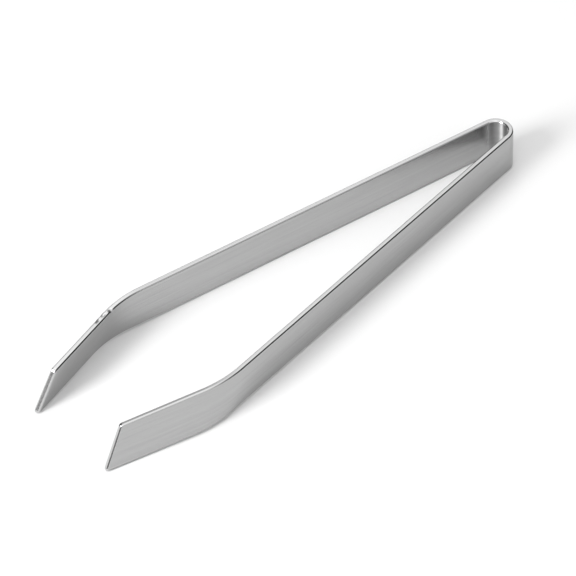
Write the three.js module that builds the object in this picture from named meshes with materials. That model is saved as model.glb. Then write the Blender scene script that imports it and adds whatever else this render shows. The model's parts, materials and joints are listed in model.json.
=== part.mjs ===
// Spring tongs: one strip of stainless steel standing on its edge, bent round a bow into two arms.
// Each arm has a knee near its end that turns a flat jaw towards the other jaw. The knee's bend line
// leans back at the top, and the jaw's end is cut on a slant, so the two ends meet flush when squeezed.
// The strip is divided only where it flexes: the bow, which is the spring, and the two arms.
//
// The strip is laid out flat first. A place on it is given by `along`, the distance from the crown of the
// bow, `up`, the height above its lower edge, and `out`, the distance outwards from mid thickness.
import * as THREE from 'three';

// Driving dimensions, in millimetres and degrees.
const STRIP_WIDTH = 10;
const STRIP_THICKNESS = 1.25;
const BOW_RADIUS = 3.3;       // to the middle of the thickness
const ARM_SPLAY = 8.2;        // each arm from the middle plane
const ARM_LENGTH = 92.6;      // from the end of the bow to the knee, at mid width
const KNEE_RADIUS = 21.2;     // to the middle of the thickness
const KNEE_BEND = 25;
const KNEE_SLANT = 25.3;      // of the bend line, from upright, its top nearer the bow
const JAW_REACH = 30;         // from the knee's start to the end cut, at mid width
const JAW_CUT = 28.5;         // slant of the end cut, from upright
const FLEX_REACH = 20;        // from the end of the bow to the line where an arm flexes
const FLEX_GAP = 0.3;         // left between the bow's piece and an arm
const BOW_STEPS = 20;
const KNEE_STEPS = 10;

const STEEL_COLOUR = 0xb4b4b4;
const STEEL_ROUGHNESS = 0.38;

const LEFT = -1;              // the sign of y on each side
const RIGHT = 1;
const splay = THREE.MathUtils.degToRad(ARM_SPLAY);
const kneeBend = THREE.MathUtils.degToRad(KNEE_BEND);
const kneeSlant = THREE.MathUtils.degToRad(KNEE_SLANT);
const jawCut = THREE.MathUtils.degToRad(JAW_CUT);
const halfBow = BOW_RADIUS * (Math.PI / 2 - splay);
const kneeStart = halfBow + ARM_LENGTH;
const kneeRun = KNEE_RADIUS * kneeBend / Math.cos(kneeSlant);

// The left arm's own directions: forward along it, inward to the other arm, and along the bend line.
const armForward = new THREE.Vector3(-Math.cos(splay), -Math.sin(splay), 0);
const inward = new THREE.Vector3(-Math.sin(splay), Math.cos(splay), 0);
const upward = new THREE.Vector3(0, 0, 1);
const acrossBend = armForward.clone().multiplyScalar(Math.cos(kneeSlant))
  .addScaledVector(upward, Math.sin(kneeSlant));
const alongBend = armForward.clone().multiplyScalar(-Math.sin(kneeSlant))
  .addScaledVector(upward, Math.cos(kneeSlant));
const bowEnd = new THREE.Vector3(BOW_RADIUS * Math.sin(splay), -BOW_RADIUS * Math.cos(splay), 0);
const kneePoint = bowEnd.clone().addScaledVector(armForward, ARM_LENGTH)
  .addScaledVector(upward, STRIP_WIDTH / 2);

// A place on the bow, on the left side of its crown.
function bowPlace(along, up, out) {
  const turned = along / BOW_RADIUS;
  const radius = BOW_RADIUS + out;
  return new THREE.Vector3(radius * Math.cos(turned), -radius * Math.sin(turned), up);
}

// A place on the left arm: flat as far as the bend line, then round the knee, then flat to the end.
function armPlace(along, up, out) {
  const forward = along - kneeStart;
  const above = up - STRIP_WIDTH / 2;
  const across = forward * Math.cos(kneeSlant) + above * Math.sin(kneeSlant);
  const beside = -forward * Math.sin(kneeSlant) + above * Math.cos(kneeSlant);
  const turned = THREE.MathUtils.clamp(across / KNEE_RADIUS, 0, kneeBend);
  const before = Math.min(across, 0);
  const beyond = Math.max(across - KNEE_RADIUS * kneeBend, 0);
  const ahead = before + KNEE_RADIUS * Math.sin(turned) + beyond * Math.cos(turned);
  const aside = KNEE_RADIUS * (1 - Math.cos(turned)) + beyond * Math.sin(turned);
  return kneePoint.clone()
    .addScaledVector(acrossBend, ahead + out * Math.sin(turned))
    .addScaledVector(inward, aside - out * Math.cos(turned))
    .addScaledVector(alongBend, beside);
}

// A place anywhere on the strip; `along` is negative on the left side and positive on the right.
function stripPlace(along, up, out) {
  const distance = Math.abs(along);
  const place = distance <= halfBow ? bowPlace(distance, up, out) : armPlace(distance, up, out);
  if (along > 0) place.y = -place.y;
  return place;
}

// A station is a line across the strip: its distance along at mid width, and how far it leans.
const station = (along, lean = 0) => ({ along, lean });

// The strip between its first and last station, as one closed solid.
function stripPiece(stations) {
  const geometry = new THREE.BoxGeometry(stations.length - 1, 1, 1, stations.length - 1, 1, 1);
  geometry.translate((stations.length - 1) / 2, 0, 0);
  const position = geometry.getAttribute('position');
  for (let i = 0; i < position.count; i += 1) {
    const { along, lean } = stations[Math.round(position.getX(i))];
    const above = position.getY(i) * STRIP_WIDTH;
    const out = position.getZ(i) * STRIP_THICKNESS;
    const place = stripPlace(along + lean * above, above + STRIP_WIDTH / 2, out);
    position.setXYZ(i, place.x, place.y, place.z);
  }
  geometry.computeVertexNormals();
  return geometry;
}

function steelMesh(name, geometry) {
  const steel = new THREE.MeshStandardMaterial({
    color: STEEL_COLOUR,
    roughness: STEEL_ROUGHNESS,
    metalness: 1,
  });
  const mesh = new THREE.Mesh(geometry, steel);
  mesh.name = name;
  return mesh;
}

function springBow() {
  const reach = halfBow + FLEX_REACH - FLEX_GAP / 2;
  const stations = [station(-reach)];
  for (let step = 0; step <= BOW_STEPS; step += 1) {
    stations.push(station(halfBow * (2 * step / BOW_STEPS - 1)));
  }
  stations.push(station(reach));
  return steelMesh('spring_bow', stripPiece(stations));
}

function arm(name, side) {
  const stations = [station(halfBow + FLEX_REACH + FLEX_GAP / 2)];
  for (let step = 0; step <= KNEE_STEPS; step += 1) {
    stations.push(station(kneeStart + kneeRun * step / KNEE_STEPS, -Math.tan(kneeSlant)));
  }
  stations.push(station(kneeStart + JAW_REACH, -Math.tan(jawCut)));
  const signed = stations.map(({ along, lean }) => station(side * along, side * lean));
  return steelMesh(name, stripPiece(side === LEFT ? signed.reverse() : signed));
}

const tongs = new THREE.Group();
tongs.add(springBow(), arm('left_arm', LEFT), arm('right_arm', RIGHT));

// The tongs rest on the bow's lower edge and on the lowest corner of each jaw.
const heel = stripPlace(0, 0, STRIP_THICKNESS / 2);
const toe = stripPlace(-kneeStart - JAW_REACH - Math.tan(jawCut) * STRIP_WIDTH / 2, 0, -STRIP_THICKNESS / 2);
tongs.rotation.y = Math.atan2(heel.z - toe.z, heel.x - toe.x);

// The origin is under the middle of the tongs, on the surface that they rest on.
const extent = new THREE.Box3().setFromObject(tongs, true);
const middle = extent.getCenter(new THREE.Vector3());
tongs.position.set(-middle.x, -middle.y, -extent.min.z);

const part = new THREE.Group();
part.add(tongs);

export default part;
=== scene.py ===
# %% [markdown]
# # Spring tongs, bent from one strip of steel
# These tongs are a single strip of stainless steel. It stands on its edge, is bent round a bow, and runs
# out into two arms. Near its end each arm has a gentle knee that turns a wide, slanted jaw inwards. We make
# it here the way a bench does: cut a flat blank, break its edges, then fold it line by line. The packed
# frame gives the place, the size and the joints, so we start by loading it.

# %% Load the frame
import json
import math

import bmesh
import bpy
from mathutils import Matrix, Vector


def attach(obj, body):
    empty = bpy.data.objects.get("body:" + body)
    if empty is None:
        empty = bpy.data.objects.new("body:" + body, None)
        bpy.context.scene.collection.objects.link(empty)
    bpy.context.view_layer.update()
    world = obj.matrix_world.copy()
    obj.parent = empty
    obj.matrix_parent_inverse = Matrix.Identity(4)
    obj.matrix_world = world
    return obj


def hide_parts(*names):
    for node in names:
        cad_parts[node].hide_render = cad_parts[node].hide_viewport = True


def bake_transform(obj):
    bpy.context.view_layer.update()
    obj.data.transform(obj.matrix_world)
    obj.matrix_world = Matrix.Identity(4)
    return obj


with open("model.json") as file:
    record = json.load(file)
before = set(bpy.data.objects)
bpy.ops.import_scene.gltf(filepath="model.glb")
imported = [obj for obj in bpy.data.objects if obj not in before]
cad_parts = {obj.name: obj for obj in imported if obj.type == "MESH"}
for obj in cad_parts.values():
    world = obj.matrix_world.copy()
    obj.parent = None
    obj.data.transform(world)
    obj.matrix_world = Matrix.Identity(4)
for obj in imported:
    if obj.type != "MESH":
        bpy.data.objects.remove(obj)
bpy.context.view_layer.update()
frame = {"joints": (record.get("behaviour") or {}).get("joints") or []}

MM = 0.001                             # the scene is in metres
joints = {joint["child"]: joint for joint in frame["joints"]}
print("bodies that move:", sorted(joints))

# %% [markdown]
# ## The strip's dimensions
# A bent strip is easiest to describe flat. A place on the blank has three coordinates: `along`, the
# distance from the crown of the bow, negative on the left side; `up`, from the lower edge; and `out`, from
# the middle of the thickness to the outside. The bends are lines across the blank, and the knee's line
# leans.

# %% Dimensions of the blank and its bends
WIDTH = 10 * MM
THICKNESS = 1.25 * MM
BOW_RADIUS = 3.3 * MM                  # to the middle of the thickness
ARM_SPLAY = math.radians(8.2)          # each arm from the middle plane
ARM_LENGTH = 92.6 * MM                 # from the end of the bow to the knee
KNEE_RADIUS = 21.2 * MM
KNEE_BEND = math.radians(25)
KNEE_SLANT = math.radians(25.3)        # of the bend line, its top nearer the bow
JAW_REACH = 30 * MM                    # from the knee to the end cut, at mid width
JAW_CUT = math.radians(28.5)           # slant of the end cut
FLEX_REACH = 20 * MM                   # from the end of the bow to the joint
LEFT, RIGHT = -1, 1                    # the sign of `along` on each side

BOW_TURN = math.pi / 2 - ARM_SPLAY
BOW_REACH = BOW_RADIUS * BOW_TURN
KNEE_START = BOW_REACH + ARM_LENGTH
KNEE_RUN = KNEE_RADIUS * KNEE_BEND / math.cos(KNEE_SLANT)
STRIP_END = KNEE_START + JAW_REACH
print("the flat strip is", round(2 * STRIP_END / MM, 1), "mm long at mid width")

# %% [markdown]
# ## From the flat blank to the frame
# The blank stands upright where the crown of the bow will be, so folding it leaves the bow's centre at the
# origin. We could type in the strip's final place, but the frame already knows it. The right joint's axis
# gives the small lean, because the tongs rest on the bow and on the jaws' toes, and its position gives the
# shift.

# %% The strip's place in the frame
joint = joints["right_arm"]
lean = math.atan2(joint["axis"][0], joint["axis"][2])
flex_point = Vector((
    BOW_RADIUS * math.sin(ARM_SPLAY) - FLEX_REACH * math.cos(ARM_SPLAY),
    BOW_RADIUS * math.cos(ARM_SPLAY) + FLEX_REACH * math.sin(ARM_SPLAY),
    WIDTH / 2,
))
to_frame = (
    Matrix.Translation(joint["pos_m"])
    @ Matrix.Rotation(lean, 4, "Y")
    @ Matrix.Translation(-flex_point)
)
print("the strip leans", round(math.degrees(lean), 3), "degrees")

# %% [markdown]
# ## Three flat blanks
# The frame has three bodies, so the strip is cut into three pieces: the bow with the start of both arms,
# and the two arms. A cube would have to be stretched and then sheared for the slanted jaw. It is simpler to
# lay four corners, make them a face, and extrude it to the strip's thickness. The seams are square cuts in
# the straight part of the arms, where two pieces share every vertex, so no gap shows.

# %% Cut the blanks
SEAM = BOW_REACH + 4 * MM              # how far from the crown the bow's piece ends
JAW_SLOPE = math.tan(JAW_CUT)
TOUCH = 1e-6                           # two lengths closer than this are the same


def flat_place(along, up, out=0.0):
    """Where a place on the blank is before any bend."""
    return Vector((BOW_RADIUS + out, along, up))


def flat_blank(start, end):
    """A flat piece of the strip between two lines across it, each given as (along, slope)."""
    bm = bmesh.new()
    corners = []
    for (along, slope), up in ((start, 0), (end, 0), (end, WIDTH), (start, WIDTH)):
        corners.append(bm.verts.new(flat_place(along - (up - WIDTH / 2) * slope, up, -THICKNESS / 2)))
    face = bm.faces.new(corners)
    made = bmesh.ops.extrude_face_region(bm, geom=[face])["geom"]
    far_side = [v for v in made if isinstance(v, bmesh.types.BMVert)]
    bmesh.ops.translate(bm, vec=(THICKNESS, 0, 0), verts=far_side)
    bmesh.ops.recalc_face_normals(bm, faces=bm.faces)
    return bm


blanks = {
    "spring_bow": flat_blank((-SEAM, 0.0), (SEAM, 0.0)),
    "left_arm": flat_blank((-STRIP_END, -JAW_SLOPE), (-SEAM, 0.0)),
    "right_arm": flat_blank((SEAM, 0.0), (STRIP_END, JAW_SLOPE)),
}
ARM_SIDES = {"left_arm": LEFT, "right_arm": RIGHT}
for name, bm in blanks.items():
    length = max(v.co.y for v in bm.verts) - min(v.co.y for v in bm.verts)
    print(name, "blank:", round(length / MM, 2), "mm long,", len(bm.verts), "corners")

# %% [markdown]
# ## Easing the jaws' corners
# A stamped jaw has no needle point, because it would prick the hand and tear paper. Its top corner and its
# toe are a little round. A bevel on the short edges through the thickness does that. Its offset is a
# set-back from the corner, so the sharper toe needs the larger one to be as round as the top corner.

# %% Ease the corners
TOP_CORNER_SETBACK = 0.5 * MM
TOE_CORNER_SETBACK = 0.78 * MM
CORNER_SEGMENTS = 4


def is_slanted_end(vert, side):
    beyond = vert.co.y - side * STRIP_END + (vert.co.z - WIDTH / 2) * side * JAW_SLOPE
    return abs(beyond) < TOUCH


for name, side in ARM_SIDES.items():
    bm = blanks[name]
    for up, setback in ((WIDTH, TOP_CORNER_SETBACK), (0, TOE_CORNER_SETBACK)):
        edges = [
            e for e in bm.edges
            if all(abs(v.co.z - up) < TOUCH and is_slanted_end(v, side) for v in e.verts)
        ]
        bmesh.ops.bevel(bm, geom=edges, offset=setback, offset_type="OFFSET", affect="EDGES",
                        segments=CORNER_SEGMENTS, profile=0.5, material=-1)
    print(name, "has", len(bm.verts) // 2, "corners in its outline")

# %% [markdown]
# ## Breaking the edges
# Tumbling in a barrel of stones first breaks every sharp edge to a narrow flat, and then rounds the two
# rims of that flat. One round bevel would be quicker, but steel shows the difference: the flat catches the
# room as a crisp line beside the bright cut edge. So we bevel twice, and pick the rims by how far the
# surface turns.

# %% Break and round the edges
EDGE_CHAMFER = 0.27 * MM
EDGE_ROUNDING = 0.06 * MM
ROUNDING_SEGMENTS = 3
EDGE_DEPTH = EDGE_CHAMFER + EDGE_ROUNDING
RIM_ANGLE = (math.radians(35), math.radians(60))   # the rims of a chamfer turn by about 45 degrees


def is_outline(edge):
    """Whether an edge lies on the rim of one of the two broad faces."""
    first, second = (v.co.x for v in edge.verts)
    on_face = all(abs(abs(x - BOW_RADIUS) - THICKNESS / 2) < TOUCH for x in (first, second))
    return on_face and abs(first - second) < TOUCH


def is_seam(edge):
    return any(all(abs(v.co.y - seam) < TOUCH for v in edge.verts) for seam in (-SEAM, SEAM))


for name, bm in blanks.items():
    outline = [e for e in bm.edges if is_outline(e) and not is_seam(e)]
    bmesh.ops.bevel(bm, geom=outline, offset=EDGE_CHAMFER, offset_type="OFFSET", affect="EDGES",
                    segments=1, profile=0.5, material=-1)
    rims = [e for e in bm.edges if RIM_ANGLE[0] < e.calc_face_angle(0) < RIM_ANGLE[1]]
    bmesh.ops.bevel(bm, geom=rims, offset=EDGE_ROUNDING, offset_type="OFFSET", affect="EDGES",
                    segments=ROUNDING_SEGMENTS, profile=0.5, material=-1)
    print(name, "edges broken:", len(bm.faces), "faces")

# %% [markdown]
# ## Guard rows
# Rolled strip is flat right up to its broken edges. Shading here runs smoothly over the whole strip, so a
# small bevel beside a long flat face would make that face look like a pillow. Weighted normals could mend
# it, but they would have to be kept through every fold. A row of vertices just inside each bevel is
# simpler. The rows are cut with bisecting planes.

# %% Guard rows along the strip
GUARD = 0.09 * MM                      # a row of vertices this far inside each bevel
BEVEL_ROW = EDGE_DEPTH + GUARD
TOE_ROW = 0.82 * MM                    # and rows just past the jaws' eased corners
TOP_ROW = WIDTH - 0.62 * MM


def bisect(bm, through, normal):
    """Cut everything with a plane, and keep both sides."""
    bmesh.ops.bisect_plane(bm, geom=bm.verts[:] + bm.edges[:] + bm.faces[:], dist=TOUCH / 10,
                           plane_co=through, plane_no=normal)


for name, bm in blanks.items():
    for up in (BEVEL_ROW, TOE_ROW, WIDTH / 2, TOP_ROW, WIDTH - BEVEL_ROW):
        bisect(bm, (0, 0, up), (0, 0, 1))
    for out in (BEVEL_ROW - THICKNESS / 2, THICKNESS / 2 - BEVEL_ROW):
        bisect(bm, (BOW_RADIUS + out, 0, 0), (1, 0, 0))
    print(name, "with guard rows:", len(bm.faces), "faces")

# %% [markdown]
# ## Fold lines
# A smooth bend is many small folds, and each needs its own line across the blank. A subdivision would space
# the lines evenly and square to the strip. Bisecting planes put them only where the steel bends, and they
# can lean, as the knee's lines and the jaws' ends do.

# %% Fold lines of the bow
BOW_FOLDS = 36                         # in each half of the bow
KNEE_FOLDS = 24


def fold_lines(side):
    """Every (along, slant, turn) of one side, from the crown outwards. The first and last fold by half."""
    lines = []
    for first, run, turn, slant, count in (
        (0.0, BOW_REACH, BOW_TURN, 0.0, BOW_FOLDS),
        (KNEE_START, KNEE_RUN, KNEE_BEND, KNEE_SLANT, KNEE_FOLDS),
    ):
        for step in range(count + 1):
            share = 0.5 if step in (0, count) else 1.0
            lines.append((side * (first + run * step / count), side * slant, side * turn * share / count))
    return lines


def cut_across(bm, along, slant=0.0):
    bisect(bm, flat_place(along, WIDTH / 2), (0, math.cos(slant), math.sin(slant)))


for side in (LEFT, RIGHT):
    for along, slant, _ in fold_lines(side)[: BOW_FOLDS + 1]:
        cut_across(blanks["spring_bow"], along, slant)
print("spring_bow with fold lines:", len(blanks["spring_bow"].faces), "faces")

# %% [markdown]
# ## Lines across the arms
# An arm has three kinds of line. Those near the bow lie where the steel flexes when squeezed, those at the
# knee are its folds, and the last two guard the slanted end, as the long rows guard the edges.

# %% Lines where the arms flex, fold and end
FLEX_SPAN = 2 * (BOW_REACH + FLEX_REACH - SEAM)    # the stretch that bends when the tongs are squeezed
FLEX_LINES = 16
END_ROWS = (0.48 * MM, 0.95 * MM)      # guard rows beside the slanted end, along the strip from it

for name, side in ARM_SIDES.items():
    bm = blanks[name]
    for step in range(1, FLEX_LINES + 1):
        cut_across(bm, side * (SEAM + FLEX_SPAN * step / FLEX_LINES))
    for along, slant, _ in fold_lines(side)[BOW_FOLDS + 1:]:
        cut_across(bm, along, slant)
    for row in END_ROWS:
        cut_across(bm, side * (STRIP_END - row), side * JAW_CUT)
    print(name, "with its lines:", len(bm.faces), "faces")

# %% [markdown]
# ## Press marks
# The tool that presses the knee leaves three small dents in the right arm's top edge, just beyond it. A
# bump map could fake them, but they cut into the edge's outline. So that stretch gets close rows of
# vertices, and those under each dent are sunk by a smooth bowl while the blank is still flat.

# %% Press the marks
PRESS_MARKS = (                        # each one's place along and out, and its depth
    (104.3 * MM, -0.40 * MM, 0.32 * MM),
    (106.3 * MM, 0.10 * MM, 0.22 * MM),
    (108.5 * MM, 0.35 * MM, 0.30 * MM),
)
MARK_ALONG, MARK_OUT = 0.8 * MM, 0.5 * MM          # a mark's half length along the strip and across it
MARK_ROW = 0.2 * MM

bm = blanks["right_arm"]
first, last = PRESS_MARKS[0][0] - MARK_ALONG, PRESS_MARKS[-1][0] + MARK_ALONG
rows = math.ceil((last - first) / MARK_ROW)
for row in range(rows + 1):
    cut_across(bm, first + (last - first) * row / rows)
sunk = 0
for vert in bm.verts:
    if vert.co.z < WIDTH - BEVEL_ROW:
        continue
    for along, out, depth in PRESS_MARKS:
        off = math.hypot((vert.co.y - along) / MARK_ALONG, (vert.co.x - BOW_RADIUS - out) / MARK_OUT)
        if off < 1:
            vert.co.z -= depth * (1 - off * off) ** 2
            sunk += 1
print(sunk, "vertices sunk under", len(PRESS_MARKS), "marks")

# %% [markdown]
# ## Folding
# A curve modifier could bend the strip, but it stretches the slanted knee. A bench brake doesn't: it turns
# everything beyond a line about that line. We do the same from the far end inwards, and turn the line
# itself half as far, so the strip keeps its thickness. The flat coordinates are first kept in an attribute
# of every vertex. They tell the folds what lies beyond a line, and later they carry the grain round the
# bends.

# %% Fold the strip
def fold_strip(bm):
    """Keep the flat coordinates, then fold both sides from their ends to the crown."""
    flat = bm.verts.layers.float_vector.new("flat")
    for vert in bm.verts:
        vert[flat] = Vector((vert.co.y, vert.co.z, vert.co.x - BOW_RADIUS))
    for side in (LEFT, RIGHT):
        for along, slant, turn in reversed(fold_lines(side)):
            beyond, on_line = [], []
            for vert in bm.verts:
                past = side * (vert[flat].x - along) * math.cos(slant) \
                    + (vert[flat].y - WIDTH / 2) * math.sin(abs(slant))
                if past > TOUCH:
                    beyond.append(vert)
                elif past > -TOUCH:
                    on_line.append(vert)
            axis = Vector((0, -math.sin(slant), math.cos(slant)))
            for verts, share in ((beyond, 1.0), (on_line, 0.5)):
                bmesh.ops.rotate(bm, verts=verts, cent=flat_place(along, WIDTH / 2),
                                 matrix=Matrix.Rotation(turn * share, 3, axis))


for name, bm in blanks.items():
    fold_strip(bm)
    bmesh.ops.remove_doubles(bm, verts=bm.verts, dist=TOUCH / 10)
    bmesh.ops.transform(bm, matrix=to_frame, verts=bm.verts)
    print(name, "folded, its highest point", round(max(v.co.z for v in bm.verts) / MM, 2), "mm up")

# %% [markdown]
# ## Surfaces of the strip
# The two broad faces come from the mill's rolls, and all the rest was cut and tumbled. So each face gets
# one of two material slots. A map unrolls the whole blank to one square, to scale: the grain's direction is
# read from it, and because it comes from the flat coordinates it never stretches at a bend.

# %% Make the pieces
ROLLED_SLOT, EDGE_SLOT = 0, 1
MAP_SPAN = 2 * (STRIP_END + 4 * MM)    # the whole blank fits in one square of the map
SHARP_ANGLE = math.radians(40)         # only the square seams are sharper than this


def mark_surfaces(bm):
    """Give each face its slot, and its place on the map."""
    flat = bm.verts.layers.float_vector["flat"]
    uv = bm.loops.layers.uv.new("blank")
    for face in bm.faces:
        out = [vert[flat].z for vert in face.verts]
        rolled = min(out) > THICKNESS / 2 - TOUCH or max(out) < TOUCH - THICKNESS / 2
        face.material_index = ROLLED_SLOT if rolled else EDGE_SLOT
        for loop in face.loops:
            place = loop.vert[flat]
            across = place.y + (0 if rolled else place.z)
            loop[uv].uv = (place.x / MAP_SPAN + 0.5, across / MAP_SPAN + 0.5)


def finish_piece(bm, name):
    """Set the shading, and make the bmesh an object with its place in its mesh."""
    mark_surfaces(bm)
    for face in bm.faces:
        face.smooth = True
    for edge in bm.edges:
        edge.smooth = edge.calc_face_angle(0) < SHARP_ANGLE
    mesh = bpy.data.meshes.new(name)
    bm.to_mesh(mesh)
    bm.free()
    piece = bpy.data.objects.new(name, mesh)
    bpy.context.scene.collection.objects.link(piece)
    print(name, len(mesh.vertices), "vertices", len(mesh.polygons), "faces")
    return piece


pieces = {name: finish_piece(bm, name + "_strip") for name, bm in blanks.items()}

# %% [markdown]
# ## Finishes
# Strip comes from the mill with a fine grain along its length, and tumbling leaves the cut edges smooth and
# a little brighter. Scanned textures could show that, but these finishes are built from noise instead,
# which has no seams and no size limit. Both use the same effects, so each effect is a node group, built
# once.

# %% Helpers for nodes
def feed(tree, made, inputs):
    """Give each named input of a node a plain value, or link it to another node's output."""
    for label, value in inputs.items():
        if isinstance(value, bpy.types.NodeSocket):
            tree.links.new(value, made.inputs[label])
        else:
            made.inputs[label].default_value = value


def node(tree, kind, inputs=None, **properties):
    """Add a shader node with its properties and inputs."""
    made = tree.nodes.new("ShaderNode" + kind)
    for label, value in properties.items():
        setattr(made, label, value)
    feed(tree, made, inputs or {})
    return made


def math_node(tree, operation, *values):
    """A math node on sockets or plain numbers."""
    return node(tree, "Math", dict(enumerate(values)), operation=operation).outputs[0]


def ranged(tree, value, low, high, to_low=0.0, to_high=1.0):
    """A smooth step: to_low where value is low, and to_high where it is high."""
    limits = {"From Min": low, "From Max": high, "To Min": to_low, "To Max": to_high}
    made = node(tree, "MapRange", {"Value": value, **limits}, interpolation_type="SMOOTHSTEP")
    return made.outputs["Result"]


def new_group(name, inputs, outputs):
    """A node group with float sockets, inputs as {name: default}. Gives it with its two end nodes."""
    group = bpy.data.node_groups.new(name, "ShaderNodeTree")
    for label, value in inputs.items():
        socket = group.interface.new_socket(label, in_out="INPUT", socket_type="NodeSocketFloat")
        socket.default_value = value
    for label in outputs:
        group.interface.new_socket(label, in_out="OUTPUT", socket_type="NodeSocketFloat")
    return group, group.nodes.new("NodeGroupInput"), group.nodes.new("NodeGroupOutput")


# %% [markdown]
# ## Mill grain
# The rolls scratch the strip lengthwise: hair-fine lines, coarser ones, and faint broad streaks. Each is
# noise that is squeezed across the strip and drawn out along it. It reads the flat coordinates and not the
# object's own, so the lines run round the bow and the knees as real grain does.

# %% The mill grain
NOISE_MIDDLE = 0.5                     # noise is even on both sides of this
FINE_LINES = {"per_metre": (60, 11000, 11000), "detail": 2.0}
COARSE_LINES = {"per_metre": (35, 2600, 2600), "detail": 3.0, "offset": 7.0}
STREAKS = {"per_metre": (14, 700, 700), "detail": 2.0, "offset": 19.0}
STREAK_STRENGTH = 0.35


def flat_noise(tree, per_metre, detail=3.0, roughness=0.55, offset=0.0):
    """Noise on the flat blank, with its own number of features per metre along, up and out."""
    place = node(tree, "Attribute", attribute_type="GEOMETRY", attribute_name="flat")
    mapped = node(tree, "Mapping", {
        "Vector": place.outputs["Vector"], "Scale": per_metre, "Location": (offset, offset, offset),
    })
    noise = node(tree, "TexNoise", {
        "Vector": mapped.outputs["Vector"], "Scale": 1.0, "Detail": detail, "Roughness": roughness,
    }, noise_dimensions="3D")
    return noise.outputs["Fac"]


def centred(tree, value, strength):
    """Noise moved to zero on average, and scaled."""
    return math_node(tree, "MULTIPLY", math_node(tree, "SUBTRACT", value, NOISE_MIDDLE), strength)


def make_grain():
    """Lines is the grain's tone, and Height lifts it for a bump."""
    group, take, give = new_group("mill_grain", {"Fine": 1.0, "Coarse": 1.0}, ("Lines", "Height"))
    fine = centred(group, flat_noise(group, **FINE_LINES), take.outputs["Fine"])
    coarse = centred(group, flat_noise(group, **COARSE_LINES), take.outputs["Coarse"])
    height = math_node(group, "ADD", fine, coarse)
    streaks = centred(group, flat_noise(group, **STREAKS), STREAK_STRENGTH)
    lines = math_node(group, "ADD", math_node(group, "ADD", height, streaks), NOISE_MIDDLE)
    feed(group, give, {"Lines": lines, "Height": height})
    return group


grain_group = make_grain()
print(grain_group.name, "has", len(grain_group.nodes), "nodes")

# %% [markdown]
# ## Marks of handling
# Fingers leave soft smudges that dull the gloss in patches, and use leaves a few hairline scratches that
# cross the grain. Painting them by hand would be slow. A smudge is broad noise, cut off below a level. A
# scratch is the thin line where finer noise passes through its middle, kept only where a third noise is
# high.

# %% Smudges and scratches
SMUDGES = {"per_metre": (130, 260, 260), "detail": 4.0, "roughness": 0.6, "offset": 3.0}
SMUDGE_LEVELS = (0.38, 0.72)
WISPS = {"per_metre": (420, 900, 900), "detail": 2.0, "offset": 31.0}
HAIR_WIDTH = 0.006                     # how far from the middle of its noise a scratch still shows
PATCHES = {"per_metre": (90, 150, 150), "detail": 1.0, "offset": 47.0}
PATCH_LEVELS = (0.56, 0.66)


def make_handling():
    """Dulling is the mask of the smudges, and Scratches that of the scratches."""
    group, take, give = new_group("handling", {"Smudge": 1.0, "Scratch": 1.0}, ("Dulling", "Scratches"))
    smudge = ranged(group, flat_noise(group, **SMUDGES), *SMUDGE_LEVELS)
    wisp = math_node(group, "SUBTRACT", flat_noise(group, **WISPS), NOISE_MIDDLE)
    hair = ranged(group, math_node(group, "ABSOLUTE", wisp), 0.0, HAIR_WIDTH, 1.0, 0.0)
    sparse = ranged(group, flat_noise(group, **PATCHES), *PATCH_LEVELS)
    scratches = math_node(group, "MULTIPLY", hair, sparse)
    feed(group, give, {
        "Dulling": math_node(group, "MULTIPLY", smudge, take.outputs["Smudge"]),
        "Scratches": math_node(group, "MULTIPLY", scratches, take.outputs["Scratch"]),
    })
    return group


handling_group = make_handling()
print(handling_group.name, "has", len(handling_group.nodes), "nodes")

# %% [markdown]
# ## The mandrel's rub
# The bow is bent round a steel pin, which scuffs its inside. That roughens the metal and draws its
# highlight out into an upright streak. The scuff could be a material of its own, but then its border would
# show. A mask that fades along the strip, and towards the outside, adds it to the roughness without one.

# %% The rub inside the bow
RUB_FULL, RUB_END = 1.5 * MM, 7 * MM   # how far from the crown the rub is whole, and where it ends


def make_rub():
    """Rub is added to the roughness inside the bow."""
    group, take, give = new_group("mandrel_rub", {"Roughening": 0.3}, ("Rub",))
    place = node(group, "Attribute", attribute_type="GEOMETRY", attribute_name="flat")
    flat = node(group, "SeparateXYZ", {"Vector": place.outputs["Vector"]})
    distance = math_node(group, "ABSOLUTE", flat.outputs["X"])
    near_crown = ranged(group, distance, RUB_FULL, RUB_END, 1.0, 0.0)
    inside = ranged(group, flat.outputs["Z"], -THICKNESS / 2, 0.0, 1.0, 0.0)
    mask = math_node(group, "MULTIPLY", near_crown, inside)
    feed(group, give, {"Rub": math_node(group, "MULTIPLY", mask, take.outputs["Roughening"])})
    return group


rub_group = make_rub()
print(rub_group.name, "has", len(rub_group.nodes), "nodes")

# %% [markdown]
# ## Two steels
# Satin steel reflects the room blurred across its grain and sharp along it, so its shader is anisotropic,
# with the direction taken from the map. A plain rough metal would look like cast aluminium instead. The
# tone, the gloss and a shallow relief all follow the grain, and the handling marks come on top. The tumbled
# edges are the same metal, brighter and almost without direction.

# %% A steel finish
ALONG_THE_GRAIN = 0.25                 # a quarter turn of the anisotropy, from across the map to along it
SCRATCH_BRIGHTNESS = 0.5


def grey(value):
    return (value, value, value, 1)


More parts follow.
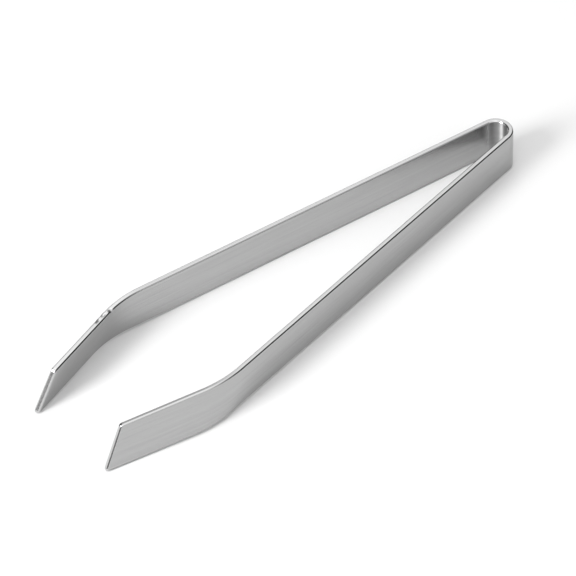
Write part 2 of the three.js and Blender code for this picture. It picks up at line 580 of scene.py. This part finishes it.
def steel_finish(name, tone, tone_spread, gloss, gloss_spread, relief, anisotropy, grain, handling, rub):
    """Metal whose tone, roughness and relief follow the grain and the handling marks."""
    material = bpy.data.materials.new(name)
    material.use_nodes = True
    tree = material.node_tree
    lines = node(tree, "Group", node_tree=grain_group)
    feed(tree, lines, grain)
    marks = node(tree, "Group", node_tree=handling_group)
    feed(tree, marks, handling)

    shine = math_node(tree, "MULTIPLY", marks.outputs["Scratches"], SCRATCH_BRIGHTNESS)
    colour = node(tree, "Mix", data_type="RGBA")
    feed(tree, colour, {
        "A": grey(tone - tone_spread),
        "B": grey(tone + tone_spread),
        "Factor": math_node(tree, "ADD", lines.outputs["Lines"], shine),
    })

    dulled = math_node(tree, "MULTIPLY", marks.outputs["Dulling"], gloss_spread)
    rough = math_node(tree, "ADD", gloss, dulled)
    rough = math_node(tree, "ADD", rough, centred(tree, lines.outputs["Lines"], gloss_spread))
    if rub > 0:
        rubbed = node(tree, "Group", node_tree=rub_group)
        feed(tree, rubbed, {"Roughening": rub})
        rough = math_node(tree, "ADD", rough, rubbed.outputs["Rub"])

    height = math_node(tree, "SUBTRACT", lines.outputs["Height"], marks.outputs["Scratches"])
    bump = node(tree, "Bump", {"Strength": 1.0, "Distance": relief, "Height": height})
    tangent = node(tree, "Tangent", direction_type="UV_MAP", uv_map="blank")
    feed(tree, tree.nodes["Principled BSDF"], {
        "Base Color": colour.outputs["Result"],
        "Metallic": 1.0,
        "Roughness": rough,
        "Anisotropic": anisotropy,
        "Anisotropic Rotation": ALONG_THE_GRAIN,
        "Tangent": tangent.outputs["Tangent"],
        "Normal": bump.outputs["Normal"],
    })
    print(name, "has", len(tree.nodes), "nodes")
    return material


# %% [markdown]
# ## The finishes on the pieces
# One shader could tell the rolled faces from the edges with a mask, but the edges are a separate surface
# that was cut, not rolled. So the satin goes in the first slot and the tumbled steel in the second.

# %% Give the pieces their finishes
satin = steel_finish(
    "satin_steel", tone=0.425, tone_spread=0.06, gloss=0.12, gloss_spread=0.05, relief=0.004 * MM,
    anisotropy=0.9, grain={"Fine": 1.4, "Coarse": 0.7}, handling={"Smudge": 1.0, "Scratch": 1.0}, rub=0.36,
)
tumbled = steel_finish(
    "tumbled_edge", tone=0.54, tone_spread=0.06, gloss=0.11, gloss_spread=0.06, relief=0.004 * MM,
    anisotropy=0.1, grain={"Fine": 0.6, "Coarse": 1.0}, handling={"Smudge": 1.0, "Scratch": 0.5}, rub=0.0,
)
for piece in pieces.values():
    piece.data.materials.append(satin)       # in the order of the two slots
    piece.data.materials.append(tumbled)
    print(piece.name, "wears", [material.name for material in piece.data.materials])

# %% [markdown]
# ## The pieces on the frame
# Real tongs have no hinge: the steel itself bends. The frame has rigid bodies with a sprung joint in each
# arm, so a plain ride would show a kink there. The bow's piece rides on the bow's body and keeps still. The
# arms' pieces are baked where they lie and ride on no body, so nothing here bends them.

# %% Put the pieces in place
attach(pieces["spring_bow"], "spring_bow")
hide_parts("spring_bow")
for name, side in ARM_SIDES.items():
    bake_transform(pieces[name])
    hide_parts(name)
    print(name, "bends over", round(FLEX_SPAN / MM, 1), "mm")

# %% [markdown]
# ## The floor
# The tongs lie on a plain sheet of white paper. Paper has no gloss, so its material is a matt white that
# takes soft shadows, and the sheet is large enough that its edges never show.

# %% Lay the paper
FLOOR_SIZE = 6
PAPER_WHITE = 0.8
PAPER_ROUGHNESS = 0.9

bpy.ops.mesh.primitive_plane_add(size=FLOOR_SIZE, location=(0, 0, 0))
floor = bpy.context.object
floor.name = "floor"
paper = bpy.data.materials.new("white_paper")
paper.use_nodes = True
feed(paper.node_tree, paper.node_tree.nodes["Principled BSDF"], {
    "Base Color": grey(PAPER_WHITE), "Roughness": PAPER_ROUGHNESS, "Specular IOR Level": 0.0,
})
floor.data.materials.append(paper)
print("floor", FLOOR_SIZE, "m wide")

# %% [markdown]
# ## Studio light
# Polished metal shows little but its surroundings, so the room matters more than any lamp. Several area
# lights could stand in for a light tent, but each would leave its own hard border in the steel. Here the
# tent is the world: rings of brightness at a few heights, bright overhead, and dim low on the camera's
# right, which draws the dark lines in the broken edges.

# %% The light tent
TENT_RINGS = (
    # elevation, and the strengths at azimuths -180, -135, -90, -45, 0, 45, 90 and 135 degrees
    (12, (0.18, 0.20, 0.25, 0.03, 0.06, 0.10, 0.15, 0.05)),
    (36, (1.00, 1.45, 1.10, 0.12, 0.45, 1.15, 0.22, 0.25)),
    (62, (1.10, 1.90, 1.35, 1.60, 1.50, 1.65, 1.00, 0.60)),
    (90, (2.00,) * 8),
)
RAMP_TOP = 2.0                         # the strength that a ramp's white stands for

world = bpy.data.worlds.new("light_tent")
bpy.context.scene.world = world
world.use_nodes = True
tent = world.node_tree
direction = node(tent, "SeparateXYZ", {"Vector": node(tent, "TexCoord").outputs["Generated"]})
azimuth = math_node(tent, "ARCTAN2", direction.outputs["Y"], direction.outputs["X"])
turn = math_node(tent, "MULTIPLY_ADD", azimuth, 0.5 / math.pi, 0.5)    # 0 to 1 once round
elevation = math_node(tent, "ARCSINE", direction.outputs["Z"])


def tent_ring(strengths):
    """One ring of the tent's wall as a colour ramp round the azimuth, closed where it meets itself."""
    made = node(tent, "ValToRGB", {"Fac": turn})
    ramp = made.color_ramp
    ramp.interpolation = "EASE"
    closed = (*strengths, strengths[0])
    while len(ramp.elements) < len(closed):
        ramp.elements.new(0.5)
    for step, element in enumerate(ramp.elements):
        element.position = step / len(strengths)
    for element, strength in zip(ramp.elements, closed):
        element.color = grey(strength / RAMP_TOP)
    return made.outputs["Color"]


wall = tent_ring(TENT_RINGS[0][1])
for (below, _), (above, strengths) in zip(TENT_RINGS, TENT_RINGS[1:]):
    climb = ranged(tent, elevation, math.radians(below), math.radians(above))
    mixed = node(tent, "Mix", data_type="RGBA")
    feed(tent, mixed, {"Factor": climb, "A": wall, "B": tent_ring(strengths)})
    wall = mixed.outputs["Result"]
feed(tent, tent.nodes["Background"], {"Color": wall, "Strength": RAMP_TOP})
print("tent of", len(TENT_RINGS), "rings")

# %% [markdown]
# ## The key light
# The tent alone gives hardly any shadow. One soft box beyond the jaws lays a soft shadow beside each arm,
# and its reflection is the bright upright streak inside the bow. A sun lamp would make both too sharp.

# %% Place the key light
KEY_AZIMUTH = math.radians(175)        # 0 is along +X, anticlockwise
KEY_ELEVATION = math.radians(30)
KEY_DISTANCE = 0.9
KEY_WIDTH, KEY_HEIGHT = 0.25, 0.5
KEY_WATTS = 7.2

toward = Vector((
    math.cos(KEY_AZIMUTH) * math.cos(KEY_ELEVATION), math.sin(KEY_AZIMUTH) * math.cos(KEY_ELEVATION),
    math.sin(KEY_ELEVATION),
))
key_data = bpy.data.lights.new("key_softbox", "AREA")
key_data.shape = "RECTANGLE"
key_data.size = KEY_WIDTH
key_data.size_y = KEY_HEIGHT
key_data.energy = KEY_WATTS
key = bpy.data.objects.new("key_softbox", key_data)
key.location = toward * KEY_DISTANCE
key.rotation_euler = toward.to_track_quat("Z", "Y").to_euler()
bpy.context.scene.collection.objects.link(key)
print("key light at", [round(v, 2) for v in key.location])

# %% [markdown]
# ## The camera
# A product view of something long and thin is taken from well back with a long lens, so that the near and
# far ends keep their proportions. The camera looks down from beyond the left jaw, and is rolled a little.
# Its depth of field stays off, because the whole of the tongs should be sharp.

# %% Place the camera
CAMERA_AZIMUTH, CAMERA_ELEVATION = math.radians(-40.02), math.radians(45.23)
CAMERA_ROLL = math.radians(-2.49)
CAMERA_DISTANCE = 1.0699
AIM = Vector((-2.86 * MM, -1.26 * MM, 5 * MM))
LENS, SENSOR_WIDTH = 311.28, 36        # in millimetres, as Blender gives them
CLIP_START, CLIP_END = 0.05, 20

back = Vector((
    math.sin(CAMERA_AZIMUTH) * math.cos(CAMERA_ELEVATION),
    -math.cos(CAMERA_AZIMUTH) * math.cos(CAMERA_ELEVATION),
    math.sin(CAMERA_ELEVATION),
))
camera_data = bpy.data.cameras.new("camera")
camera_data.lens = LENS
camera_data.sensor_width = SENSOR_WIDTH
camera_data.clip_start = CLIP_START
camera_data.clip_end = CLIP_END
camera = bpy.data.objects.new("camera", camera_data)
camera.location = AIM + back * CAMERA_DISTANCE
roll = Matrix.Rotation(CAMERA_ROLL, 3, "Z").to_quaternion()
camera.rotation_mode = "QUATERNION"
camera.rotation_quaternion = (-back).to_track_quat("-Z", "Y") @ roll
bpy.context.scene.collection.objects.link(camera)
bpy.context.scene.camera = camera
bpy.context.scene.view_settings.view_transform = "Standard"
print("camera at", [round(v, 3) for v in camera.location])
